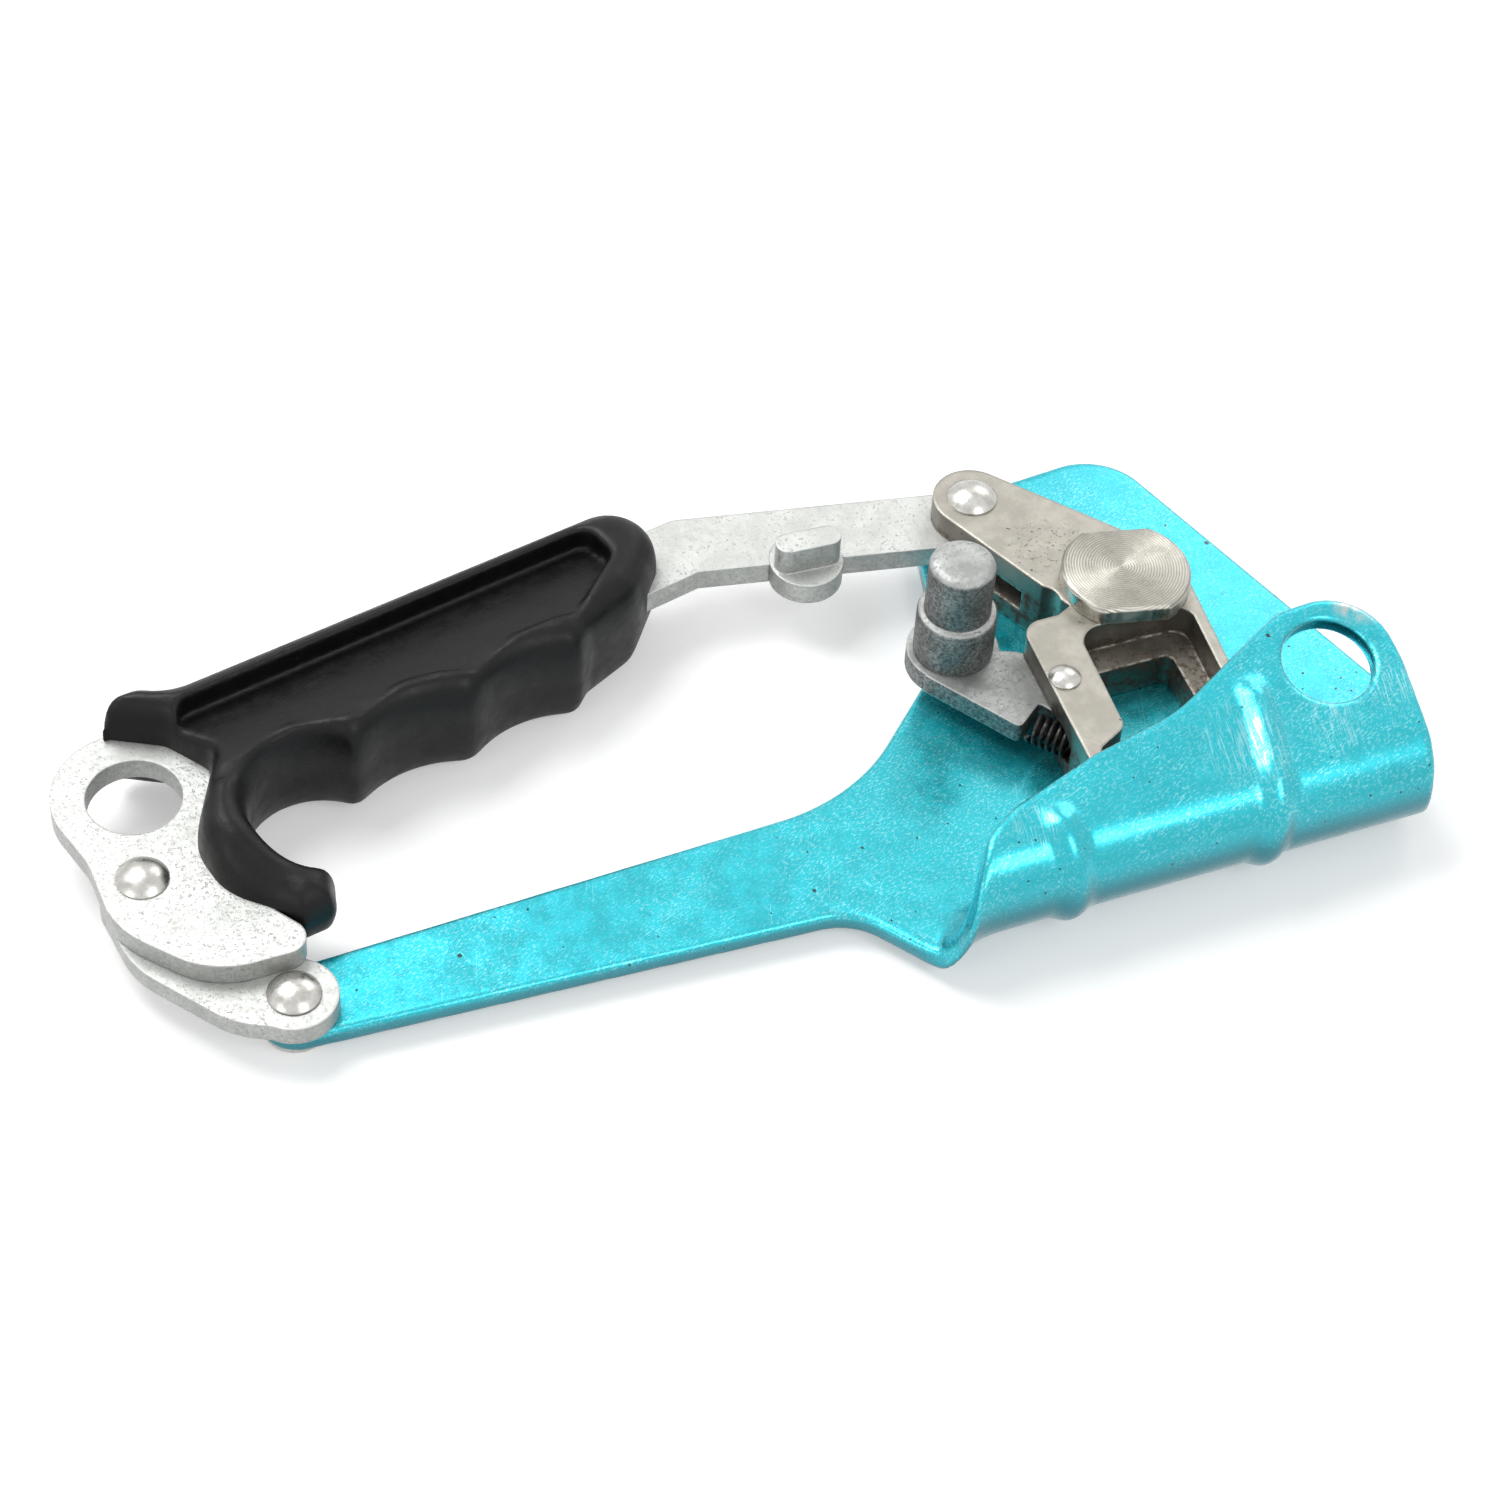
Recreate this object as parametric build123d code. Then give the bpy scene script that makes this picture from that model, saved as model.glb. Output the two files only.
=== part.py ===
"""Lever-cam rope ascender with a parallelogram handle, lying on its back.

+X runs along the rope toward the tab, +Z points away from the frame's back.
All plan positions are measured from the cam axle, in millimetres.
"""
from math import cos, radians, sin, tan
import os

from build123d import *

# ---- overall sizes -------------------------------------------------------
lever_length = 29.7            # cam axle to lever rivet, also strap rivet to eye rivet
lever_angle = 121.8
handle_span = 150.6            # cam axle to strap rivet, also lever rivet to eye rivet
span_angle = 191.24
sheet = 3.5                    # frame sheet thickness
tail = 2.0                     # rivet tails stand this far behind the frame
channel_radius = 10.0          # outside of the rope channel's bend
channel_y = -43.0              # centre line of the bend
lip_tilt = 12.4                # the lip opens away from the plate by this angle
cam_thickness = 12.0
cam_ear = 4.5                  # upper ear of the clevis
core_thickness = 3.9
link_thickness = 3.4
grip_thickness = 20.8
eye_radius = 7.4
tab_hole_radius = 7.3

# ---- fits ----------------------------------------------------------------
face_gap = 0.10                # between flat faces that slide on each other
run_fit = 0.05                 # radial, pin in a turning bore
spring_gap = 0.30              # spring wire to its pocket
stop_gap = 0.40                # dome to the plate edge beside it

# ---- hardware ------------------------------------------------------------
rivet_radius = 3.0
dome_radius = 4.1
dome_height = 2.0
small_rivet_radius = 1.6
small_dome_radius = 2.6
small_dome_height = 1.3
washer = 0.8
axle_radius = 6.0
axle_head_radius = 10.4
axle_head_height = 3.0
axle_flats = 8.9               # flat to centre
bush_wall = 1.2
pin_low_radius, pin_low_height = 6.4, 9.0
pin_top_radius, pin_top_height = 5.3, 10.8
pin_tenon_radius = 3.0
bead_width, bead_height = 6.0, 1.2
wire = 0.9                     # return spring
catch_wire = 0.8


def polar(length, angle):
    """Plan vector of a length and an angle in degrees."""
    return Vector(length * cos(radians(angle)), length * sin(radians(angle)))


# ---- pivots in plan ------------------------------------------------------
axle = Vector(0, 0)
lever_pivot = axle + polar(lever_length, lever_angle)
strap_pivot = axle + polar(handle_span, span_angle)
eye_pivot = strap_pivot + polar(lever_length, lever_angle)
catch_pivot = Vector(-17.6, -15.8)
thumb = Vector(-29.7, -0.4)
eye = eye_pivot + Vector(3.2, 15.8)
tab_hole = Vector(19.6, -31.5)
lug = lever_pivot + Vector(-28.9, -0.2)

# ---- levels above the table ----------------------------------------------
frame_back = tail
frame_face = frame_back + sheet
link_low = frame_face + face_gap
link_top = link_low + link_thickness
core_low = link_top + face_gap
core_top = core_low + core_thickness
cam_low = frame_face + face_gap
cam_top = cam_low + cam_thickness
slot_low = core_low - face_gap
slot_top = core_top + face_gap
grip_low = (core_low + core_top - grip_thickness) / 2
bend_z = frame_back + channel_radius


def rounded(corners):
    """Face of a closed outline given as (x, y, corner radius)."""
    count = len(corners)
    ends = []
    for index, (x, y, radius) in enumerate(corners):
        here = Vector(x, y)
        before = (Vector(*corners[index - 1][:2]) - here).normalized()
        after = (Vector(*corners[(index + 1) % count][:2]) - here).normalized()
        half = radians(before.get_angle(after)) / 2
        if radius == 0:
            ends.append((here, None, here))
            continue
        reach = radius / tan(half)
        middle = (before + after).normalized() * (radius / sin(half) - radius)
        ends.append((here + before * reach, here + middle, here + after * reach))
    edges = []
    for index, (start, middle, stop) in enumerate(ends):
        if middle is not None:
            edges.append(ThreePointArc(start, middle, stop))
        following = ends[(index + 1) % count][0]
        if (following - stop).length > 1e-6:
            edges.append(Line(stop, following))
    return make_face(Wire(edges))


def prism(face, low, top):
    """Solid of a plan face between two levels."""
    return Pos(0, 0, low) * extrude(face, amount=top - low)


def disc(centre, radius, low, top):
    """Upright cylinder between two levels."""
    return prism(Pos(centre.X, centre.Y) * Circle(radius), low, top)


def hull(first, first_radius, second, second_radius):
    """Plan face stretched round two circles."""
    ends = [Pos(first.X, first.Y) * Circle(first_radius), Pos(second.X, second.Y) * Circle(second_radius)]
    return make_hull([edge for end in ends for edge in end.edges()])


def dome(centre, radius, height, level, up=1):
    """Spherical cap standing on a level, upward or hanging below it."""
    sphere = (radius ** 2 + height ** 2) / (2 * height)
    ball = Pos(centre.X, centre.Y, level + up * (height - sphere)) * Sphere(sphere)
    if up > 0:
        return ball & disc(centre, 2 * radius, level, level + 2 * height)
    return ball & disc(centre, 2 * radius, level - 2 * height, level)


def annulus(centre, inner, outer, low, top):
    """Plain washer or bush."""
    return disc(centre, outer, low, top) - disc(centre, inner, low, top)


# ---- frame ---------------------------------------------------------------
def bent_section(outside, thickness, flat_end, lip_end):
    """Face in the YZ plane: flat, half-round and tilted lip of the bent sheet."""
    turn = 180 - lip_tilt
    parts = []
    for radius in (outside, outside - thickness):
        start = Vector(channel_y, bend_z - radius)
        side = Vector(channel_y - radius, bend_z)
        stop = Vector(channel_y - radius * sin(radians(turn)), bend_z - radius * cos(radians(turn)))
        slope = Vector(cos(radians(lip_tilt)), sin(radians(lip_tilt)))
        free = stop + slope * ((lip_end - stop.X) / slope.X)
        parts.append((start, side, stop, free))
    out, inn = parts
    low_out, low_in = Vector(flat_end, out[0].Y), Vector(flat_end, inn[0].Y)
    edges = [
        Line(low_out, out[0]),
        ThreePointArc(*out[:3]),
        Line(out[2], out[3]),
        Line(out[3], inn[3]),
        Line(inn[3], inn[2]),
        ThreePointArc(inn[2], inn[1], inn[0]),
        Line(inn[0], low_in),
        Line(low_in, low_out),
    ]
    return make_face(Wire(edges))


def bent_strip(x_from, x_to, outside, thickness, flat_end, lip_end):
    """The bent section carried along the rope from one station to another."""
    section = bent_section(outside, thickness, flat_end, lip_end)
    return Pos(x_from, 0, 0) * extrude(Plane.YZ * section, amount=x_to - x_from)


plate_outline = rounded([
    (-153.4, -34.8, 6.1),
    (-62.5, -39.6, 10.0),
    (-53.2, -53.4, 3.2),
    (-46.5, -50.5, 2.0),
    (-46.0, channel_y, 0),
    (31.5, channel_y, 0),
    (36.8, -24.0, 8.0),
    (15.8, 39.0, 11.0),
    (-21.2, 36.0, 12.0),
    (-28.8, 5.0, 22.0),
    (-53.5, -18.3, 34.0),
    (-153.4, -21.9, 6.1),
])
low_side = rounded([
    (-50.0, channel_y + 3, 0),
    (-50.0, -47.5, 0),
    (-47.6, -54.6, 0),
    (28.4, -54.6, 0),
    (31.5, channel_y, 0),
    (31.5, channel_y + 3, 0),
])
lip_side = rounded([
    (-47.6, -54.6, 0),
    (-44.8, -48.9, 12.0),
    (-37.2, -40.7, 5.0),
    (-22.5, -35.8, 40.0),
    (-7.0, -32.6, 40.0),
    (15.2, -20.9, 9.0),
    (30.9, -20.0, 10.5),
    (31.2, -34.0, 20.0),
    (28.4, -54.6, 0),
])
channel = bent_strip(-51, 34, channel_radius, sheet, channel_y + 3, -16)
lip = channel & prism(lip_side, bend_z, bend_z + 30)
trough = channel & prism(low_side, 0, bend_z)
frame = prism(plate_outline, frame_back, frame_face) + trough + lip
for x, flat_end, lip_end in ((-31.8, -14, -43.5), (2.6, -10, -28.2)):
    rib = bent_strip(x - bead_width / 2, x + bead_width / 2, channel_radius + bead_height,
                     bead_height + sheet / 2, flat_end, lip_end)
    frame += rib
lip_z = bend_z + channel_radius * cos(radians(lip_tilt))
lip_z += (tab_hole.Y - channel_y + channel_radius * sin(radians(lip_tilt))) * tan(radians(lip_tilt))
frame -= Pos(tab_hole.X, tab_hole.Y, lip_z) * Rot(lip_tilt, 0, 0) * Cylinder(tab_hole_radius, 4 * sheet)
frame -= disc(axle, axle_radius, 0, frame_face)
frame -= disc(strap_pivot, rivet_radius, 0, frame_face)

# ---- main axle -----------------------------------------------------------
head_low = cam_top + face_gap
head = disc(axle, axle_head_radius, head_low, head_low + axle_head_height)
head &= Rot(0, 0, -13) * Pos(0, 0, head_low) * Box(
    3 * axle_head_radius, 2 * axle_flats, 2 * axle_head_height)
cam_axle = chamfer(head.edges().group_by(Axis.Z)[-1], 0.5)
cam_axle += disc(axle, axle_radius, 0, head_low)
cam_axle += disc(axle, axle_radius + 1.4, 0, tail - washer)
axle_washer = annulus(axle, axle_radius, axle_radius + 3.2, tail - washer, tail)

# ---- cam -----------------------------------------------------------------
hub_radius = 10.3
lever_end_radius = 6.4
spring_pocket = 2.6
bush_outer = axle_radius + run_fit + bush_wall
pocket_radius = bush_outer + wire + 2 * spring_gap
nose_low, nose_top = cam_low + 2.0, cam_top - 1.2
tooth_pitch, tooth_height = 3.2, 1.2

body_outline = rounded([
    (-19.7, -3.2, 3.5),
    (-21.2, -39.0, 2.0),
    (7.0, -38.0, 3.0),
    (10.3, 0, 0),
    (0, 3, 0),
    (-13, -3.2, 0),
])
face_start, face_middle, face_stop = (-20.4, -41.2), (-7.6, -43.2), (6.8, -38.6)
nose_outline = make_face(Wire([
    Line((-21.0, -34), face_start),
    ThreePointArc(face_start, face_middle, face_stop),
    Line(face_stop, (7.2, -34)),
    Line((7.2, -34), (-21.0, -34)),
]))
cam_body = prism(body_outline, cam_low, cam_top)
cam_body += prism(nose_outline, nose_low, nose_top)
cam_body += prism(hull(lever_pivot, lever_end_radius, axle, hub_radius), cam_low, cam_top)
face_arc = ThreePointArc(face_start, face_middle, face_stop)
teeth = int(face_arc.length / tooth_pitch)
for index in range(teeth):
    spot = face_arc @ ((index + 0.5) / teeth)
    away = spot.normalized()
    along = Vector(-away.Y, away.X)
    foot = spot - away * 0.4
    tooth = make_face(Wire(Polyline(
        foot + along * 1.2, foot - along * 1.2, spot + away * tooth_height, foot + along * 1.2)))
    cam_body += prism(tooth, nose_low + 0.6, nose_top - 0.6)
cam_body -= disc(Vector(-14.6, 0.5), 3.4, cam_low, cam_top)
cam_body -= prism(rounded([
    (-11.6, -7.2, 4.0),
    (-12.9, -28.2, 2.5),
    (-18.6, -31.2, 1.5),
    (-18.6, -35.0, 1.5),
    (5.5, -35.0, 3.0),
    (7.7, -7.6, 3.0),
]), cam_low + 6.4, cam_top)
cam_body -= prism(rounded([
    (-11.9, -12.3, 1.5),
    (-12.8, -32.0, 2.0),
    (2.6, -32.0, 2.0),
    (3.2, -12.3, 1.5),
]), cam_low, cam_top)
clevis_slot = Pos(0, 0, (slot_low + slot_top) / 2) * Rot(0, 0, lever_angle) * Pos(30, 0, 0) * Box(
    33, 40, slot_top - slot_low)
catch_slot = Pos(-18.6, -12.4, (slot_low + slot_top) / 2) * Box(10.8, 21.2, slot_top - slot_low)
cam_body -= clevis_slot
cam_body -= catch_slot
cam_body -= disc(axle, bush_outer, cam_low, cam_top)
cam_body -= disc(axle, pocket_radius, cam_low, cam_low + spring_pocket)
cam_body -= disc(lever_pivot, rivet_radius, cam_low, cam_top)
cam_body -= disc(catch_pivot, small_rivet_radius, cam_low, cam_top)
axle_bush = annulus(axle, axle_radius + run_fit, bush_outer, cam_low + spring_pocket, cam_top)

# ---- springs -------------------------------------------------------------
catch_mid = (core_low + core_top) / 2
spring_from = Vector(-23.85, -18.25)
spring_to = Vector(-18.95, -24.55)
catch_coil_radius = 2.2
reach = spring_to - spring_from
coil_line = Plane(origin=(spring_from.X, spring_from.Y, catch_mid), z_dir=(reach.X, reach.Y, 0))
coil = Helix(pitch=reach.length / 6.5, height=reach.length - catch_wire, radius=catch_coil_radius)
coil = Pos(0, 0, catch_wire / 2) * coil
profile = Plane(origin=coil @ 0, z_dir=coil % 0) * Circle(catch_wire / 2)
catch_spring = coil_line * sweep(profile, path=coil)
seat = coil_line * Pos(0, 0, reach.length / 2 + 1.2) * Cylinder(
    catch_coil_radius + catch_wire / 2 + spring_gap, reach.length - 2.0)
cam_body -= seat

return_radius = bush_outer + spring_gap + wire / 2
return_low = cam_low + spring_gap + wire / 2
turn = Helix(pitch=wire + 0.15, height=1.3 * (wire + 0.15), radius=return_radius)
turn = Pos(0, 0, return_low) * turn
profile = Plane(origin=turn @ 0, z_dir=turn % 0) * Circle(wire / 2)
cam_return_spring = sweep(profile, path=turn)

# ---- lever rivet and catch rivet -----------------------------------------
lever_rivet = dome(lever_pivot, dome_radius, dome_height, cam_top)
lever_rivet += disc(lever_pivot, rivet_radius, cam_low, cam_top)
catch_rivet = dome(catch_pivot, small_dome_radius, small_dome_height, cam_top)
catch_rivet += disc(catch_pivot, small_rivet_radius, cam_low, cam_top)

# ---- safety catch --------------------------------------------------------
catch_low, catch_top = core_low + face_gap, core_top - face_gap
catch_end_radius = 7.4
catch_plate = prism(rounded([
    (-36.2, -4.4, 0),
    (-26.3, -19.4, 1.0),
    (-21.5, -15.7, 0.5),
    (-20.0, -18.0, 0.4),
    (-18.0, -19.4, 2.2),
    (-14.2, -17.6, 2.6),
    (-14.6, -9.2, 3.0),
    (-20.2, -4.6, 2.0),
    (-26.0, -2.0, 0),
]), catch_low, catch_top)
catch_plate += disc(thumb, catch_end_radius, catch_low, catch_top)
catch_plate -= disc(thumb, pin_tenon_radius, catch_low, catch_top)
catch_plate -= disc(catch_pivot, small_rivet_radius + run_fit, catch_low, catch_top)
thumb_pin = disc(thumb, pin_top_radius, catch_top, catch_top + pin_low_height + pin_top_height)
thumb_pin = chamfer(thumb_pin.edges().group_by(Axis.Z)[-1], 0.9)
thumb_pin += disc(thumb, pin_low_radius, catch_top, catch_top + pin_low_height)
thumb_pin += disc(thumb, pin_tenon_radius, catch_low, catch_top)

# ---- link ----------------------------------------------------------------
link_end_radius = 6.7
link_bow = rounded([
    (eye_pivot.X - link_end_radius, eye_pivot.Y, 0),
    (eye_pivot.X - 5.4, eye_pivot.Y - 12.6, 15.0),
    (strap_pivot.X - 10.0, strap_pivot.Y - 2.2, 15.0),
    (strap_pivot.X - 0.6, strap_pivot.Y - link_end_radius, 0),
    (strap_pivot.X + 1.0, strap_pivot.Y + link_end_radius - 0.4, 0),
    (strap_pivot.X - 4.8, strap_pivot.Y + 7.4, 9.0),
    (eye_pivot.X + 5.8, eye_pivot.Y - 4.5, 10.0),
    (eye_pivot.X + 5.8, eye_pivot.Y + 2.0, 0),
])
link = prism(link_bow, link_low, link_top)
link += disc(eye_pivot, link_end_radius, link_low, link_top)
link += disc(strap_pivot, link_end_radius, link_low, link_top)
link -= disc(eye_pivot, rivet_radius + run_fit, link_low, link_top)
link -= disc(strap_pivot, rivet_radius + run_fit, link_low, link_top)

strap_rivet = dome(strap_pivot, dome_radius, dome_height, core_low)
strap_rivet += disc(strap_pivot, rivet_radius, 0, core_low)
strap_rivet += disc(strap_pivot, rivet_radius + 0.7, 0, tail - washer)
strap_washer = annulus(strap_pivot, rivet_radius, rivet_radius + 2.0, tail - washer, tail)

# ---- handle core ---------------------------------------------------------
strap_half = 6.0
eye_head_radius = 12.6
core_bend = lever_pivot + Vector(-46.4, 9.0)
tang_end = eye + Vector(9.0, 3.0)
crescent_low = strap_pivot.Y + dome_radius + stop_gap
crescent = rounded([
    (eye.X - eye_head_radius + 0.7, eye.Y - 3.5, 0),
    (eye.X - 10.0, eye.Y - 10.5, 9.0),
    (eye.X - 9.8, eye.Y - 23.5, 14.0),
    (eye.X + 1.5, crescent_low, 14.0),
    (eye.X + 19.6, crescent_low, 3.2),
    (eye.X + 9.6, eye.Y - 22.0, 10.0),
    (eye.X + 8.4, eye.Y - 13.0, 8.0),
    (eye.X + 13.0, eye.Y - 2.0, 0),
    (eye.X, eye.Y + 1.0, 0),
])
core_face = crescent + Pos(eye.X, eye.Y + 0.6) * Circle(eye_head_radius)
core_face += hull(tang_end, 6.5, core_bend, strap_half)
core_face += hull(core_bend, strap_half, lever_pivot, strap_half)
handle_core = prism(core_face, core_low, core_top)
handle_core -= disc(eye, eye_radius, core_low, core_top)
handle_core -= disc(eye_pivot, rivet_radius, core_low, core_top)
handle_core -= disc(lever_pivot, rivet_radius + run_fit, core_low, core_top)

# ---- stop lug ------------------------------------------------------------
lug_radius = 6.0
lug_tab_height = 5.0
lug_tab = Pos(lug.X, lug.Y - 0.2) * Rot(0, 0, -3) * SlotOverall(11.0, 4.2)
stop_lug = disc(lug, lug_radius, core_low, core_top)
stop_lug += prism(lug_tab, core_top, core_top + lug_tab_height)
handle_core -= disc(lug, lug_radius, core_low, core_top)

# ---- eye rivet -----------------------------------------------------------
eye_rivet = dome(eye_pivot, dome_radius, dome_height, core_top)
eye_rivet += disc(eye_pivot, rivet_radius, frame_face - washer, core_top)
eye_rivet += dome(eye_pivot, rivet_radius + 0.7, 1.4, frame_face - washer, up=-1)
eye_washer = annulus(eye_pivot, rivet_radius, rivet_radius + 2.0, frame_face - washer, frame_face)

# ---- grip ----------------------------------------------------------------
crests = [(-128.3, 5.2), (-108.5, 9.3), (-90.0, 13.4)]
scallop_depth = 3.0
guard_thinning = 4.5
grip_outline = rounded([
    (-143.6, -20.2, 1.0),
    (-138.4, -20.0, 3.0),
    (-137.7, -10.4, 1.5),
    (*crests[0], 0),
    (*crests[1], 0),
    (*crests[2], 3.0),
    (-67.8, 31.0, 4.0),
    (-69.0, 42.0, 8.0),
    (-150.5, 26.2, 9.0),
    (-155.0, 28.8, 4.0),
    (-162.8, 27.2, 2.0),
    (-161.6, 24.6, 0.6),
    (-152.8, 20.0, 4.0),
    (-147.4, 12.6, 3.0),
    (-154.4, -1.5, 9.0),
    (-152.6, -11.3, 12.0),
])
for left, right in zip(crests, crests[1:]):
    chord = Vector(*right) - Vector(*left)
    middle = (Vector(*left) + Vector(*right)) / 2
    radius = (chord.length ** 2 / 4 + scallop_depth ** 2) / (2 * scallop_depth)
    centre = middle + Vector(chord.Y, -chord.X).normalized() * (radius - scallop_depth)
    grip_outline -= Pos(centre.X, centre.Y) * Circle(radius)
grip_outline -= Pos(-136.2, -1.3) * Circle(9.9)
pocket = rounded([
    (-149.0, 12.5, 2.0),
    (-131.0, 15.0, 4.0),
    (-92.0, 22.0, 5.0),
    (-76.5, 31.2, 1.6),
    (-80.0, 35.2, 1.6),
    (-149.0, 21.0, 2.0),
])
pocket_depth = 2.8
grip_top = grip_low + grip_thickness
grip = prism(grip_outline, grip_low, grip_top)
grip -= prism(pocket, grip_top - pocket_depth, grip_top)
grip -= prism(pocket, grip_low, grip_low + pocket_depth)
guard_end = Pos(-141.0, -16.5) * Rectangle(14.0, 13.0)
grip -= prism(guard_end, grip_top - guard_thinning, grip_top)
grip -= prism(guard_end, grip_low, grip_low + guard_thinning)
grip -= prism(core_face, core_low, core_top)

nodes = {
    "frame": frame,
    "cam_axle": cam_axle,
    "axle_washer": axle_washer,
    "strap_rivet": strap_rivet,
    "strap_washer": strap_washer,
    "cam_body": cam_body,
    "axle_bush": axle_bush,
    "cam_return_spring": cam_return_spring,
    "lever_rivet": lever_rivet,
    "catch_rivet": catch_rivet,
    "catch_plate": catch_plate,
    "thumb_pin": thumb_pin,
    "catch_spring": catch_spring,
    "link": link,
    "handle_core": handle_core,
    "stop_lug": stop_lug,
    "eye_rivet": eye_rivet,
    "eye_washer": eye_washer,
    "grip": grip,
}

# The origin is the middle of the bounding box's base.
box = Compound(children=[solid for node in nodes.values() for solid in node.solids()]).bounding_box()
home = Pos(-box.center().X, -box.center().Y, -box.min.Z)
os.makedirs("parts", exist_ok=True)
for name, node in nodes.items():
    solids = [home * solid for solid in node.solids()]
    export_step(solids[0] if len(solids) == 1 else Compound(children=solids), f"parts/{name}.step")
    print(name, len(solids), round(sum(solid.volume for solid in solids), 1))
print("axle stands at", round(-box.center().X, 4), round(-box.center().Y, 4), round(-box.min.Z, 4))
print("size", box.size)
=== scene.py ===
"""A lever-cam rope ascender with a rubber grip, lying on its back on a pale table.

Lengths are in millimetres and angles in degrees, unless a docstring says otherwise.
"""
from dataclasses import dataclass, field
from enum import Enum
import logging
import math
from typing import Sequence

import bpy
import numpy as np
from mathutils import Matrix, Vector


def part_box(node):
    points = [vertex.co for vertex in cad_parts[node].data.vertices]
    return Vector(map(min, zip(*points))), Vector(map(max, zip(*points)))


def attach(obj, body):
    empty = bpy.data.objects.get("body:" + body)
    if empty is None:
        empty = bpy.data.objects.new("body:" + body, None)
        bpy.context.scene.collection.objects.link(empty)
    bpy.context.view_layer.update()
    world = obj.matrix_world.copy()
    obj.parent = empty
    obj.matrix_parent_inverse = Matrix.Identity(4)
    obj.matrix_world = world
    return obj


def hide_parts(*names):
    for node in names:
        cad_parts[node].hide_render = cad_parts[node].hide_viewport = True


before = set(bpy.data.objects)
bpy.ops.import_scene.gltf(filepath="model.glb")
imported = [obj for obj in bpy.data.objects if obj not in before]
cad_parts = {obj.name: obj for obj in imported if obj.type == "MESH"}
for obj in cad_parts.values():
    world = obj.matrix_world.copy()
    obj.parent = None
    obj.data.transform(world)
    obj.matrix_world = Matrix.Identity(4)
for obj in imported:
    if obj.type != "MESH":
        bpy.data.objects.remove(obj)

log = logging.getLogger("ascender")
MM = 0.001
Place = tuple[float, float, float]
Colour = Place
Socket = bpy.types.NodeSocket
Material = bpy.types.Material
Piece = bpy.types.Object
GRID_MARGIN = 2
AXIS_GAP = 0.02


def upright_axis(node: str) -> Vector:
    """The place on the table below the middle of a CAD piece, in metres."""
    low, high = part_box(node)
    return Vector(((low[0] + high[0]) / 2, (low[1] + high[1]) / 2, 0.0))


def plan_origin() -> Vector:
    """The cam axle's centre line where it meets the table, in metres."""
    return upright_axis("axle_bush")


def placed(x: float, y: float, z: float = 0.0) -> Vector:
    """Turns a place measured from the cam axle into one in the row frame.

    Args:
        x: Distance along the rope.
        y: Distance from the rope toward the lever.
        z: Height above the table.

    Returns:
        The same place in metres.
    """
    return plan_origin() + Vector((x, y, z)) * MM


def show(name: str, data: bpy.types.ID) -> Piece:
    """Puts a new object into the scene.

    Args:
        name: The object's name.
        data: Its mesh, lamp or camera.

    Returns:
        The object.
    """
    shown = bpy.data.objects.new(name, data)
    bpy.context.scene.collection.objects.link(shown)
    return shown


class Direction(Enum):
    """How a scratch or a brushed grain lies in plan, as a turn in degrees."""

    ALONG = 24.0
    ACROSS = -52.0
    SKEW = 71.0


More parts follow.
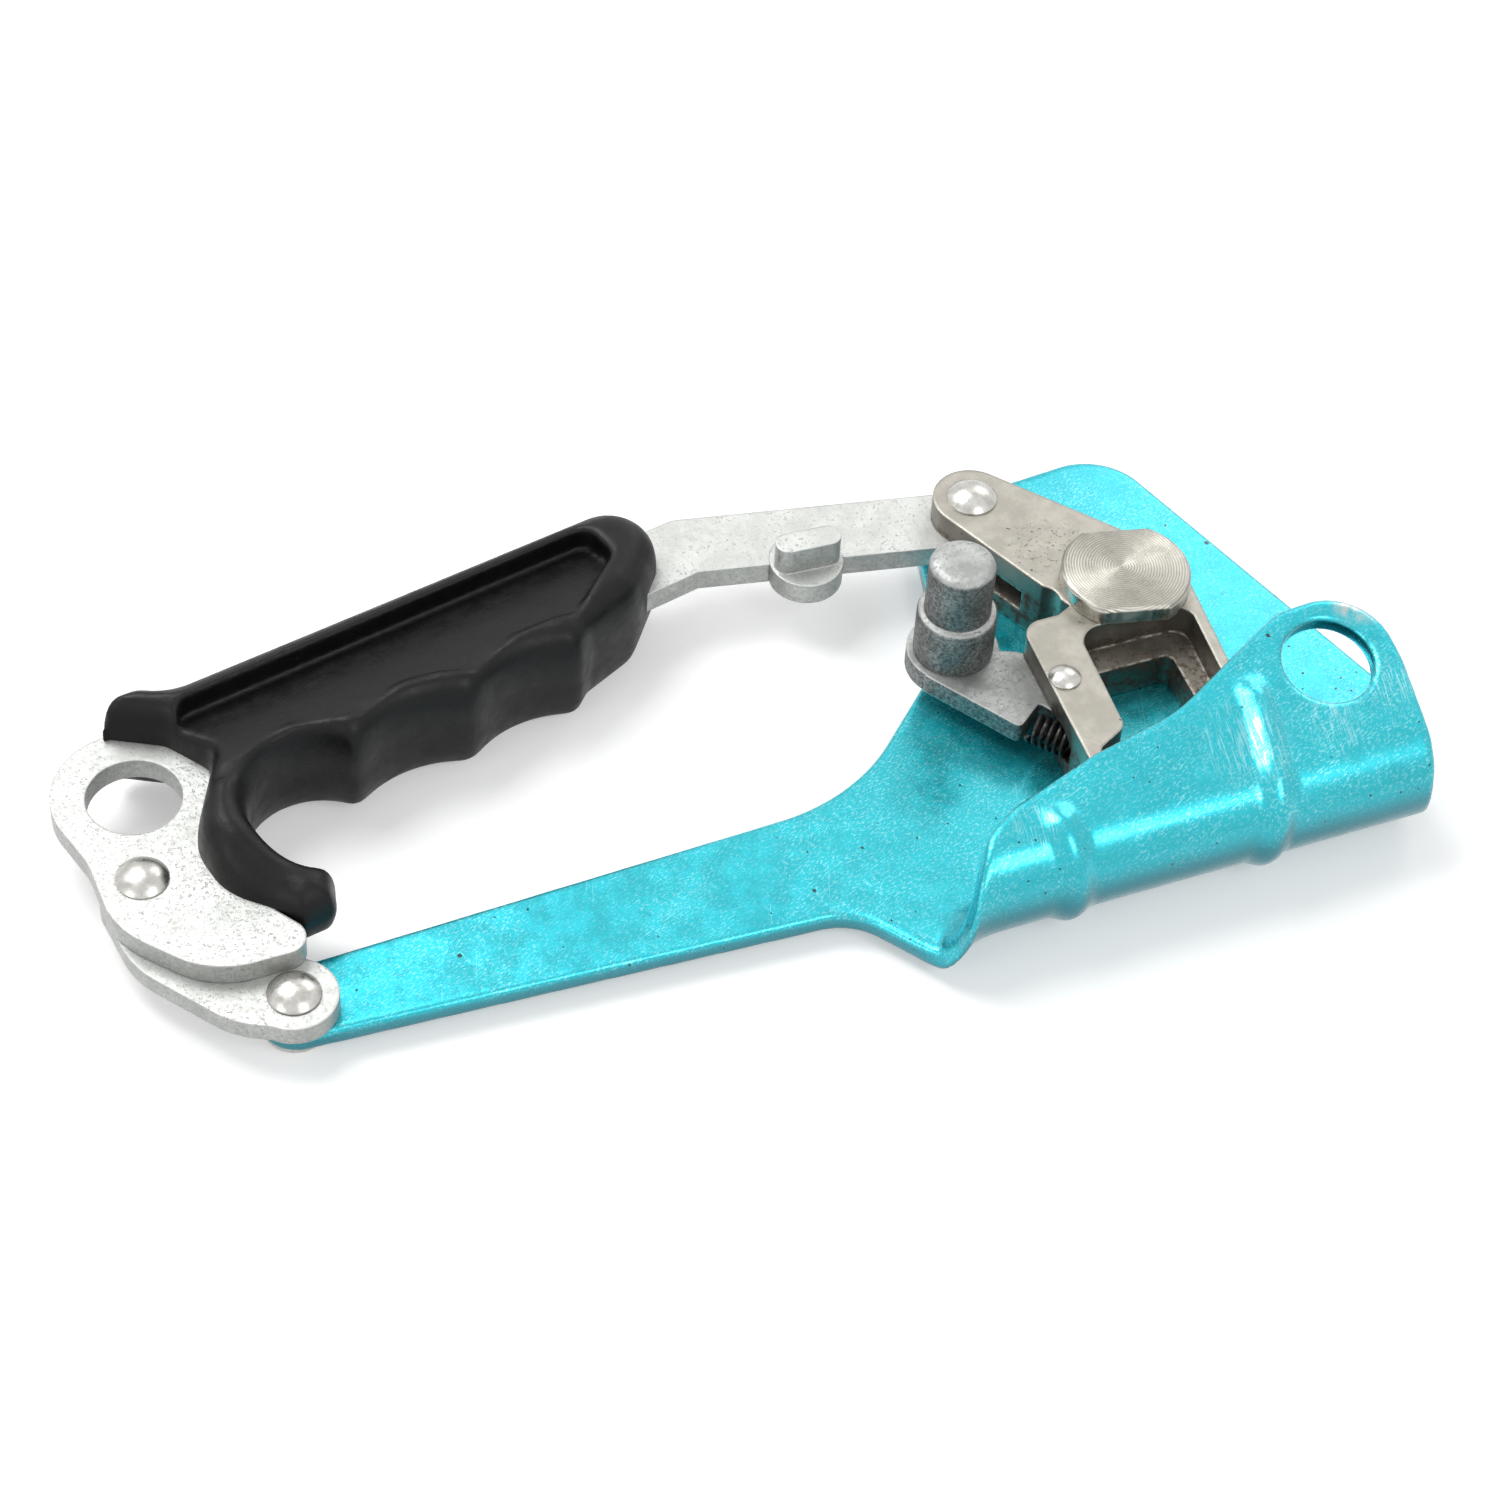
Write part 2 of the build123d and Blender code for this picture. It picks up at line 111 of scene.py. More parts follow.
class Recipe:
    """A node material under construction, with its shader and its texture space."""

    SPOT_SHIFT = 0.4
    SPOT_REACH = 1.2
    BEVEL_SAMPLES = 6

    def __init__(self, name: str) -> None:
        """Starts an empty material.

        Args:
            name: The material's name.
        """
        self.material = bpy.data.materials.new(name)
        self.material.use_nodes = True
        self.tree = self.material.node_tree
        self.tree.nodes.clear()
        self.shader = self.add("ShaderNodeBsdfPrincipled")
        output = self.add("ShaderNodeOutputMaterial")
        self.tree.links.new(self.shader.outputs[0], output.inputs["Surface"])
        self.place = self.add("ShaderNodeTexCoord").outputs["Object"]

    def add(self, kind: str, **settings: object) -> bpy.types.Node:
        """Adds a node.

        Args:
            kind: The node's type.
            settings: Values for the node's own properties.

        Returns:
            The node.
        """
        node = self.tree.nodes.new(kind)
        for key, value in settings.items():
            setattr(node, key, value)
        return node

    def feed(self, socket: Socket, value: object) -> None:
        """Links a socket into another, or sets its constant.

        Args:
            socket: The input to feed.
            value: An output socket, a number or a colour.
        """
        if isinstance(value, Socket):
            self.tree.links.new(value, socket)
        elif isinstance(value, tuple) and socket.type == "RGBA":
            socket.default_value = (*value, 1.0)
        else:
            socket.default_value = value

    def constant(self, **values: float) -> None:
        """Sets plain numbers on the shader's own sockets, named with underscores."""
        for key, value in values.items():
            self.shader.inputs[key.replace("_", " ")].default_value = value

    def noise(self, size: float, detail: float = 3.0, rough: float = 0.5,
              stretch: Sequence[float] = (1.0, 1.0, 1.0), angle: float = 0.0) -> Socket:
        """Cloudy variation.

        Args:
            size: The width of one cloud.
            detail: How many finer layers are added.
            rough: How strong the finer layers are.
            stretch: How much finer the clouds are along each axis.
            angle: The turn of the stretched axes in plan.

        Returns:
            A socket from 0 to 1 round a mean of 0.5.
        """
        space = self.add("ShaderNodeMapping", vector_type="TEXTURE")
        self.feed(space.inputs["Vector"], self.place)
        space.inputs["Rotation"].default_value = (0.0, 0.0, math.radians(angle))
        space.inputs["Scale"].default_value = tuple(1.0 / part for part in stretch)
        node = self.add("ShaderNodeTexNoise")
        self.feed(node.inputs["Vector"], space.outputs[0])
        node.inputs["Scale"].default_value = 1.0 / (size * MM)
        node.inputs["Detail"].default_value = detail
        node.inputs["Roughness"].default_value = rough
        return node.outputs["Fac"]

    def spots(self, pitch: float, radius: float, share: float) -> Socket:
        """Scattered round spots.

        Args:
            pitch: The mean distance between the places a spot may take.
            radius: The radius of a spot.
            share: The part of those places that have a spot.

        Returns:
            A mask, 1 inside a spot.
        """
        cells = self.add("ShaderNodeTexVoronoi", feature="F1")
        self.feed(cells.inputs["Vector"], self.shaken(self.SPOT_SHIFT, self.SPOT_REACH))
        cells.inputs["Scale"].default_value = 1.0 / (pitch * MM)
        inside = self.ramp(cells.outputs["Distance"], radius / pitch, 0.55 * radius / pitch)
        pick = self.add("ShaderNodeSeparateColor")
        self.feed(pick.inputs[0], cells.outputs["Color"])
        chosen = self.calc("LESS_THAN", pick.outputs[0], share)
        return self.calc("MULTIPLY", inside, chosen)

    def shaken(self, amount: float, size: float) -> Socket:
        """The texture space with its places shifted a little.

        Args:
            amount: The shift.
            size: How wide a stretch shifts together.

        Returns:
            The new coordinates.
        """
        cloud = self.add("ShaderNodeTexNoise")
        self.feed(cloud.inputs["Vector"], self.place)
        cloud.inputs["Scale"].default_value = 1.0 / (size * MM)
        shift = self.vector("SCALE", cloud.outputs["Color"])
        shift.inputs["Scale"].default_value = amount * MM
        return self.vector("ADD", self.place, shift.outputs[0]).outputs[0]

    def vector(self, operation: str, first: object, second: object = (0.0, 0.0, 0.0)) -> bpy.types.Node:
        """Arithmetic on two vectors.

        Args:
            operation: The kind of arithmetic.
            first: A socket or a vector.
            second: Another.

        Returns:
            The node.
        """
        node = self.add("ShaderNodeVectorMath", operation=operation)
        self.feed(node.inputs[0], first)
        self.feed(node.inputs[1], second)
        return node

    def ramp(self, value: object, start: float, stop: float,
             low: float = 0.0, high: float = 1.0) -> Socket:
        """Maps a value smoothly from one range to another.

        Args:
            value: The value to map.
            start: Where the value gives low.
            stop: Where the value gives high.
            low: The result at the start.
            high: The result at the stop.

        Returns:
            The result.
        """
        node = self.add("ShaderNodeMapRange", interpolation_type="SMOOTHSTEP")
        for socket, number in zip(node.inputs[:5], (value, start, stop, low, high)):
            self.feed(socket, number)
        return node.outputs[0]

    def calc(self, operation: str, first: object, second: object = 0.0, clamp: bool = True) -> Socket:
        """Arithmetic on two values.

        Args:
            operation: The kind of arithmetic.
            first: A socket or a number.
            second: Another.
            clamp: Whether the result is held between 0 and 1.

        Returns:
            The result.
        """
        node = self.add("ShaderNodeMath", operation=operation, use_clamp=clamp)
        self.feed(node.inputs[0], first)
        self.feed(node.inputs[1], second)
        return node.outputs[0]

    def tint(self, amount: object, first: object, second: object) -> Socket:
        """Goes from one colour to another.

        Args:
            amount: How far to go, from 0 to 1.
            first: The colour at 0.
            second: The colour at 1.

        Returns:
            The colour.
        """
        node = self.add("ShaderNodeMix", data_type="RGBA")
        for index, value in ((0, amount), (6, first), (7, second)):
            self.feed(node.inputs[index], value)
        return node.outputs[2]

    def distance(self, centre: Vector, flat: bool = True) -> Socket:
        """Distance from a place.

        Args:
            centre: The place, in metres.
            flat: Whether heights are left out.

        Returns:
            The distance in metres.
        """
        shift = self.vector("SUBTRACT", self.place, centre).outputs[0]
        if flat:
            shift = self.vector("MULTIPLY", shift, (1.0, 1.0, 0.0)).outputs[0]
        return self.vector("LENGTH", shift).outputs["Value"]

    def patch(self, centre: Vector, radius: float, ragged: float = 0.5) -> Socket:
        """A ragged patch round a place.

        Args:
            centre: The middle of the patch.
            radius: Its radius.
            ragged: How much the edge wanders, as a share of the radius.

        Returns:
            A mask, 1 inside the patch.
        """
        near = self.ramp(self.distance(centre, False), radius * MM, 0.3 * radius * MM)
        broken = self.ramp(self.noise(radius * 0.35, 5.0, 0.7), 0.5 - ragged * 0.3, 0.5 + ragged * 0.3)
        return self.calc("MULTIPLY", near, broken)

    def height(self, vector: object) -> Socket:
        """The upward part of a vector."""
        parts = self.add("ShaderNodeSeparateXYZ")
        self.feed(parts.inputs[0], vector)
        return parts.outputs["Z"]

    def upward(self) -> Socket:
        """How far the surface faces up: 1 on top, 0 on a wall, -1 underneath."""
        return self.height(self.add("ShaderNodeNewGeometry").outputs["Normal"])

    def soft_edges(self, radius: float) -> tuple[Socket, Socket]:
        """Shades edges as if they were rounded.

        Args:
            radius: The radius.

        Returns:
            The rounded normal, and a mask that is 1 along the edges, for painting highlights on them.
        """
        bevel = self.add("ShaderNodeBevel", samples=self.BEVEL_SAMPLES)
        bevel.inputs["Radius"].default_value = radius * MM
        true = self.add("ShaderNodeNewGeometry").outputs["Normal"]
        dot = self.vector("DOT_PRODUCT", bevel.outputs[0], true)
        return bevel.outputs[0], self.ramp(dot.outputs["Value"], 0.985, 0.80)

    def relief(self, height: object, depth: float, normal: object = None) -> Socket:
        """Raises the surface by a height map.

        Args:
            height: The map, from 0 to 1.
            depth: The relief.
            normal: The normal that it adds to.

        Returns:
            The new normal.
        """
        node = self.add("ShaderNodeBump")
        node.inputs["Distance"].default_value = depth * MM
        self.feed(node.inputs["Height"], height)
        if normal is not None:
            self.feed(node.inputs["Normal"], normal)
        return node.outputs[0]

    def finish(self, colour: object, roughness: object, normal: object, metallic: object) -> Material:
        """Feeds the shader.

        Args:
            colour: The base colour.
            roughness: From 0, polished, to 1.
            normal: The shading normal.
            metallic: From 0, plastic, to 1.

        Returns:
            The finished material.
        """
        self.feed(self.shader.inputs["Base Color"], colour)
        self.feed(self.shader.inputs["Roughness"], roughness)
        self.feed(self.shader.inputs["Metallic"], metallic)
        self.feed(self.shader.inputs["Normal"], normal)
        return self.material


@dataclass(frozen=True)
class Anodised:
    """Satin anodised aluminium sheet, scratched and pitted in use."""

    base: Colour = (0.008, 0.47, 0.56)
    cloudy: Colour = (0.012, 0.52, 0.61)
    # pale colour of grain flecks and scratches, also used for the painted highlight along the edges
    pale_marks_and_edge_highlight: Colour = (0.30, 0.80, 0.86)
    shade: Colour = (0.0, 0.17, 0.22)
    pit: Colour = (0.02, 0.06, 0.07)
    bare: Colour = (0.62, 0.57, 0.54)
    polished: Colour = (0.55, 0.90, 0.94)
    edge: float = 0.7
    rubbed: tuple[tuple[Place, float], ...] = (
        ((0.5, -41.5, 22.5), 10.0), ((15.0, -42.0, 22.0), 6.5),
        ((27.0, -38.0, 23.0), 6.0), ((-36.0, -45.0, 21.0), 5.0))
    worn: tuple[Place, float] = ((28.5, -23.0, 26.5), 5.5)

    def make(self) -> Material:
        """Builds the material.

        Returns:
            The material.
        """
        r = Recipe("anodised sheet")
        normal, edges = r.soft_edges(self.edge)
        cloud = r.noise(26.0, 3.0, 0.5)
        colour = r.tint(r.ramp(cloud, 0.3, 0.7), self.base, self.cloudy)
        fleck = r.ramp(r.noise(0.42, 2.0, 0.6, (0.6, 1.5, 1.0), Direction.ALONG.value), 0.50, 0.68)
        handled = r.ramp(r.noise(12.0, 5.0, 0.65), 0.36, 0.64, 0.25, 0.75)
        colour = r.tint(r.calc("MULTIPLY", fleck, handled), colour, self.pale_marks_and_edge_highlight)
        for turn in Direction:
            line = r.noise(0.9, 1.0, 0.5, (0.05, 5.0, 1.0), turn.value)
            mark = r.calc("MULTIPLY", r.ramp(line, 0.68, 0.76), r.ramp(r.noise(7.0), 0.50, 0.6))
            colour = r.tint(r.calc("MULTIPLY", mark, 0.6), colour, self.pale_marks_and_edge_highlight)
        under = r.ramp(r.upward(), 0.62, -0.10, 0.0, 0.86)
        colour = r.tint(under, colour, self.shade)
        for place, radius in self.rubbed:
            streak = r.ramp(r.noise(0.8, 2.0, 0.6, (3.0, 0.16, 0.3), -8.0), 0.52, 0.62)
            mark = r.calc("MULTIPLY", streak, r.patch(placed(*place), radius, 1.4))
            colour = r.tint(r.calc("MULTIPLY", mark, 0.8), colour, self.polished)
        pits = r.calc("ADD", r.spots(6.0, 0.5, 0.45), r.spots(2.6, 0.26, 0.42))
        clustered = r.calc("MULTIPLY", r.spots(1.5, 0.26, 0.7), r.ramp(r.noise(7.0, 2.0), 0.60, 0.67))
        pits = r.calc("ADD", pits, clustered)
        # painted highlight: edges tinted pale as if they catch the light
        colour = r.tint(r.calc("MULTIPLY", edges, 0.45), colour, self.pale_marks_and_edge_highlight)
        colour = r.tint(pits, colour, self.pit)
        corner, reach = self.worn
        colour = r.tint(r.patch(placed(*corner), reach), colour, self.bare)
        normal = r.relief(r.noise(0.8, 4.0, 0.6), 0.014, normal)
        normal = r.relief(r.calc("SUBTRACT", 1.0, pits), 0.04, normal)
        roughness = r.ramp(r.noise(4.0, 4.0, 0.7), 0.3, 0.7, 0.20, 0.36)
        r.constant(Coat_Weight=0.6, Coat_Roughness=0.14)
        return r.finish(colour, roughness, normal, 0.72)


@dataclass(frozen=True)
class CastSteel:
    """Cast steel with a thin nickel skin, lightly rusted."""

    base: Colour = (0.33, 0.315, 0.275)
    cloudy: Colour = (0.41, 0.39, 0.345)
    edge_highlight: Colour = (0.62, 0.60, 0.55)
    # painted shade colour for the walls
    wall: Colour = (0.085, 0.078, 0.065)
    below_ledge_dark: Colour = (0.10, 0.085, 0.07)
    rust: Colour = (0.075, 0.040, 0.020)
    ledge_top: float = 15.0
    ledge_floor: float = 12.6
    chipped: Place = (-9.0, 11.5, 17.6)

    def make(self) -> Material:
        """Builds the material.

        Returns:
            The material.
        """
        r = Recipe("nickelled cast steel")
        normal, edges = r.soft_edges(0.8)
        colour = r.tint(r.ramp(r.noise(5.0, 5.0, 0.6), 0.35, 0.65), self.base, self.cloudy)
        # painted highlight: edges tinted brighter
        colour = r.tint(r.calc("MULTIPLY", edges, 0.6), colour, self.edge_highlight)
        lever = r.calc("MULTIPLY", r.patch(placed(*self.chipped), 9.0, 1.0),
                       r.ramp(r.noise(0.8, 3.0, 0.7), 0.58, 0.64))
        pits = r.calc("ADD", r.spots(2.4, 0.22, 0.18), lever)
        # painted shade: walls and steep faces darker than the tops
        upright = r.ramp(r.upward(), 0.7, 0.1, 0.0, 0.6)
        colour = r.tint(upright, colour, self.wall)
        sunk = r.ramp(r.height(r.place), self.ledge_top * MM, self.ledge_floor * MM)
        scale = r.ramp(r.noise(1.5, 5.0, 0.75), 0.46, 0.62)
        stain = r.calc("MULTIPLY", sunk, scale)
        # faces below the ledge darkened as a whole
        colour = r.tint(r.calc("MULTIPLY", sunk, 0.45), colour, self.below_ledge_dark)
        colour = r.tint(r.calc("MULTIPLY", stain, 0.85), colour, self.rust)
        colour = r.tint(pits, colour, self.rust)
        normal = r.relief(r.noise(0.7, 4.0, 0.6), 0.05, normal)
        normal = r.relief(r.calc("SUBTRACT", 1.0, pits), 0.10, normal)
        clean = r.ramp(r.noise(2.0, 4.0), 0.3, 0.7, 0.34, 0.46)
        roughness = r.calc("ADD", clean, r.calc("MULTIPLY", stain, 0.4))
        metallic = r.ramp(r.calc("ADD", stain, pits), 0.0, 1.0, 0.92, 0.2)
        return r.finish(colour, roughness, normal, metallic)


@dataclass(frozen=True)
class TurnedSteel:
    """Bright steel faced on a lathe, with rings round an off-centre point."""

    centre: tuple[float, float] = (-0.6, 0.8)
    base: Colour = (0.30, 0.29, 0.255)
    ringed: Colour = (0.52, 0.50, 0.45)
    speck: Colour = (0.15, 0.13, 0.11)
    edge_highlight: Colour = (0.8, 0.79, 0.76)
    ring: float = 0.45

    def make(self) -> Material:
        """Builds the material.

        Returns:
            The material.
        """
        r = Recipe("turned steel")
        normal, edges = r.soft_edges(0.5)
        centre = placed(*self.centre)
        wave = r.calc("MULTIPLY", r.distance(centre), 2.0 * math.pi / (self.ring * MM), False)
        rings = r.ramp(r.calc("SINE", wave, clamp=False), -1.0, 1.0)
        wide = r.ramp(r.noise(2.5, 3.0, 0.6), 0.3, 0.7)
        colour = r.tint(r.calc("MULTIPLY", rings, wide), self.base, self.ringed)
        colour = r.tint(r.spots(2.6, 0.16, 0.2), colour, self.speck)
        # painted highlight: edges tinted brighter
        colour = r.tint(r.calc("MULTIPLY", edges, 0.5), colour, self.edge_highlight)
        normal = r.relief(rings, 0.022, normal)
        normal = r.relief(r.noise(0.9, 4.0, 0.6), 0.02, normal)
        r.feed(r.shader.inputs["Tangent"], r.vector("SUBTRACT", r.place, centre).outputs[0])
        r.constant(Anisotropic=0.85)
        return r.finish(colour, r.ramp(wide, 0.0, 1.0, 0.26, 0.38), normal, 0.95)


@dataclass(frozen=True)
class DomedSteel:
    """Bright rivet heads with small hammer marks."""

    base: Colour = (0.50, 0.49, 0.46)
    cloudy: Colour = (0.62, 0.61, 0.58)
    speck: Colour = (0.2, 0.19, 0.17)

    def make(self) -> Material:
        """Builds the material.

        Returns:
            The material.
        """
        r = Recipe("domed rivet steel")
        normal, _ = r.soft_edges(0.3)
        colour = r.tint(r.ramp(r.noise(1.6, 4.0, 0.6), 0.35, 0.65), self.base, self.cloudy)
        colour = r.tint(r.spots(1.6, 0.14, 0.2), colour, self.speck)
        normal = r.relief(r.noise(1.1, 3.0, 0.5), 0.010, normal)
        return r.finish(colour, r.ramp(r.noise(1.0), 0.3, 0.7, 0.2, 0.34), normal, 0.95)


@dataclass(frozen=True)
class Plated:
    """Zinc-plated sheet: pale, matt and speckled; its walls are darker, partly from coarse cut edges and
    partly as painted shade, and its edges carry a painted highlight.
    """

    name: str = "plated sheet"
    base: Colour = (0.50, 0.51, 0.49)
    pale: Colour = (0.60, 0.61, 0.59)
    grit_and_wall_shade: Colour = (0.20, 0.21, 0.20)
    pit: Colour = (0.12, 0.12, 0.11)
    edge_highlight: Colour = (0.85, 0.85, 0.83)
    # how much the walls are darkened: partly rough cut edges, partly painted shade
    side: float = 0.55
    speckle: float = 0.2

    def make(self) -> Material:
        """Builds the material.

        Returns:
            The material.
        """
        r = Recipe(self.name)
        normal, edges = r.soft_edges(0.5)
        upright = r.ramp(r.calc("ABSOLUTE", r.upward(), clamp=False), 0.6, 0.2)
        colour = r.tint(r.ramp(r.noise(6.0, 5.0, 0.7), 0.35, 0.65), self.base, self.pale)
        grit = r.ramp(r.noise(0.55, 3.0, 0.75), 0.54, 0.68)
        patchy = r.ramp(r.noise(6.0, 3.0), 0.42, 0.66, 0.25, 1.0)
        colour = r.tint(r.calc("MULTIPLY", grit, r.calc("MULTIPLY", patchy, 0.75)), colour, self.grit_and_wall_shade)
        rugged = r.ramp(r.noise(0.6, 4.0, 0.8), 0.35, 0.65, 0.35, 1.0)
        # painted shade, partly rough cut edges: walls darker than the tops, broken up by a coarse grain
        colour = r.tint(r.calc("MULTIPLY", r.calc("MULTIPLY", upright, self.side), rugged), colour, self.grit_and_wall_shade)
        pits = r.spots(2.2, 0.15, self.speckle)
        colour = r.tint(pits, colour, self.pit)
        # painted highlight: edges tinted brighter
        colour = r.tint(r.calc("MULTIPLY", edges, 0.35), colour, self.edge_highlight)
        normal = r.relief(r.noise(0.7, 4.0, 0.7), 0.05, normal)
        normal = r.relief(r.calc("SUBTRACT", 1.0, grit), 0.03, normal)
        return r.finish(colour, r.ramp(r.noise(1.6), 0.3, 0.7, 0.42, 0.56), normal, 0.72)


@dataclass(frozen=True)
class Wire:
    """Blackened spring wire."""

    base: Colour = (0.022, 0.020, 0.019)
    rubbed: Colour = (0.11, 0.10, 0.09)

    def make(self) -> Material:
        """Builds the material.

        Returns:
            The material.
        """
        r = Recipe("blackened spring wire")
        rub = r.ramp(r.noise(1.2, 3.0, 0.6), 0.52, 0.68)
        colour = r.tint(rub, self.base, self.rubbed)
        return r.finish(colour, r.ramp(rub, 0.0, 1.0, 0.42, 0.3), r.relief(r.noise(0.4), 0.02), 0.7)


@dataclass(frozen=True)
class Bronze:
    """Plain bronze bush."""

    base: Colour = (0.42, 0.26, 0.12)
    cloudy: Colour = (0.55, 0.36, 0.18)
    edge_highlight: Colour = (0.7, 0.5, 0.28)

    def make(self) -> Material:
        """Builds the material.

        Returns:
            The material.
        """
        r = Recipe("plain bronze")
        normal, edges = r.soft_edges(0.3)
        colour = r.tint(r.ramp(r.noise(2.0, 4.0), 0.3, 0.7), self.base, self.cloudy)
        # painted highlight: edges tinted brighter
        colour = r.tint(r.calc("MULTIPLY", edges, 0.5), colour, self.edge_highlight)
        normal = r.relief(r.noise(0.5), 0.02, normal)
        return r.finish(colour, r.ramp(r.noise(1.0), 0.3, 0.7, 0.3, 0.45), normal, 0.95)


@dataclass(frozen=True)
class MouldedRubber:
    """Black moulded rubber with a fine satin grain and a little dust."""

    base: Colour = (0.0028, 0.0029, 0.003)
    haze: Colour = (0.010, 0.010, 0.010)
    dust: Colour = (0.028, 0.029, 0.029)

    def make(self) -> Material:
        """Builds the material.

        Returns:
            The material.
        """
        r = Recipe("moulded rubber")
        grain = r.noise(0.45, 3.0, 0.6)
        haze = r.ramp(r.noise(8.0, 5.0, 0.7), 0.45, 0.75, 0.0, 0.35)
        colour = r.tint(haze, self.base, self.haze)
        lint = r.calc("MULTIPLY", r.spots(4.5, 0.2, 0.2), 0.6)
        colour = r.tint(lint, colour, self.dust)
        scuff = r.noise(1.4, 3.0, 0.6, (0.15, 3.0, 1.0), Direction.ALONG.value)
        colour = r.tint(r.ramp(scuff, 0.64, 0.74, 0.0, 0.35), colour, self.dust)
        normal = r.relief(grain, 0.035)
        normal = r.relief(r.noise(5.0, 2.0), 0.12, normal)
        roughness = r.ramp(r.noise(3.0, 4.0, 0.6), 0.3, 0.7, 0.36, 0.50)
        r.constant(Specular_IOR_Level=0.26)
        return r.finish(colour, roughness, normal, 0.0)


@dataclass
class Finishes:
    """One of each finish on the object."""

    sheet: Material = field(default_factory=Anodised().make)
    cast: Material = field(default_factory=CastSteel().make)
    turned: Material = field(default_factory=TurnedSteel().make)
    domed: Material = field(default_factory=DomedSteel().make)
    plated: Material = field(default_factory=Plated().make)
    # mottled finish: darker grit, and walls darkened strongly, partly as painted shade
    mottled: Material = field(default_factory=Plated(
        name="mottled galvanised steel", base=(0.30, 0.31, 0.30), pale=(0.48, 0.49, 0.48),
        grit_and_wall_shade=(0.045, 0.052, 0.052), side=0.92, speckle=0.3).make)
    wire: Material = field(default_factory=Wire().make)
    bronze: Material = field(default_factory=Bronze().make)
    rubber: Material = field(default_factory=MouldedRubber().make)


def dress(node: str, material: Material) -> None:
    """Gives a CAD piece its finish.

    Args:
        node: The piece's name.
        material: The finish for all its faces.
    """
    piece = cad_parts[node]
    if not piece.material_slots:
        piece.data.materials.append(material)
    for index in range(len(piece.material_slots)):
        piece.material_slots[index].material = material
    log.info("dressed %s in %s", node, material.name)


def outline(corners: Sequence[Place], step: float = 0.8) -> np.ndarray:
    """Closed outline with rounded corners.

    Args:
        corners: Place and corner radius of each corner.
        step: The longest piece of an arc.

    Returns:
        Its points, one row each.
    """
    points: list[Vector] = []
    for index, (x, y, radius) in enumerate(corners):
        here = Vector((x, y))
        before = (Vector(corners[index - 1][:2]) - here).normalized()
        after = (Vector(corners[(index + 1) % len(corners)][:2]) - here).normalized()
        if radius == 0:
            points.append(here)
            continue
        half = before.angle(after) / 2
        reach = radius / math.tan(half)
        centre = here + (before + after).normalized() * (radius / math.sin(half))
        start, stop = here + before * reach - centre, here + after * reach - centre
        sweep = start.angle_signed(stop)
        count = max(2, int(abs(sweep) * radius / step))
        for turn in range(count + 1):
            points.append(centre + Matrix.Rotation(-sweep * turn / count, 2) @ start)
    return np.array([tuple(p) for p in points])


def plan_distance(x: np.ndarray, y: np.ndarray, points: np.ndarray) -> np.ndarray:
    """Signed distance to a closed outline, negative inside.

    Args:
        x: Plan places along the rope.
        y: Plan places across it.
        points: The outline.

    Returns:
        The distance at each place.
    """
    best = np.full(x.shape, 1e9)
    inside = np.zeros(x.shape, bool)
    for (ax, ay), (bx, by) in zip(points, np.roll(points, -1, axis=0)):
        dx, dy = bx - ax, by - ay
        length = dx * dx + dy * dy
        if length < 1e-12:
            continue
        t = np.clip(((x - ax) * dx + (y - ay) * dy) / length, 0, 1)
        best = np.minimum(best, (x - ax - t * dx) ** 2 + (y - ay - t * dy) ** 2)
        if ay != by:
            crosses = ((ay > y) != (by > y)) & (x < (y - ay) * dx / dy + ax)
            inside ^= crosses
    return np.sqrt(best) * np.where(inside, -1.0, 1.0)


def both(first: np.ndarray, second: np.ndarray, soft: float) -> np.ndarray:
    """Where two bodies overlap, with a rounded corner between them."""
    gap = np.clip(soft - np.abs(first - second), 0.0, None)
    return np.maximum(first, second) + gap * gap / (4.0 * soft)


def eased(share: np.ndarray) -> np.ndarray:
    """Turns a straight run from 0 to 1 into one with soft ends."""
    return share * share * (3 - 2 * share)


def slab(plan: np.ndarray, level: np.ndarray, half: np.ndarray, radius: float) -> np.ndarray:
    """An outline given thickness, with rounded edges.

    Args:
        plan: Distances to the outline.
        level: Distances from the middle plane.
        half: Half the thickness.
        radius: The radius of the edges.

    Returns:
        The distances to the slab.
    """
    side, face = plan + radius, np.abs(level) - (half - radius)
    outside = np.hypot(np.clip(side, 0, None), np.clip(face, 0, None))
    return np.minimum(np.maximum(side, face), 0) + outside - radius


def grid(node: str, step: float) -> tuple[np.ndarray, list[np.ndarray]]:
    """A regular grid round a CAD piece.

    Args:
        node: The piece's name.
        step: The spacing in metres.

    Returns:
        Its first place in metres, and the places measured from the axle.
    """
    low, high = (np.array(c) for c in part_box(node))
    origin = plan_origin()
    corner = low - GRID_MARGIN * step
    count = np.ceil((high - low) / step).astype(int) + 2 * GRID_MARGIN + 1
    axes = [(corner[a] + step * np.arange(count[a]) - origin[a]) / MM for a in range(3)]
    return corner, np.meshgrid(*axes, indexing="ij")


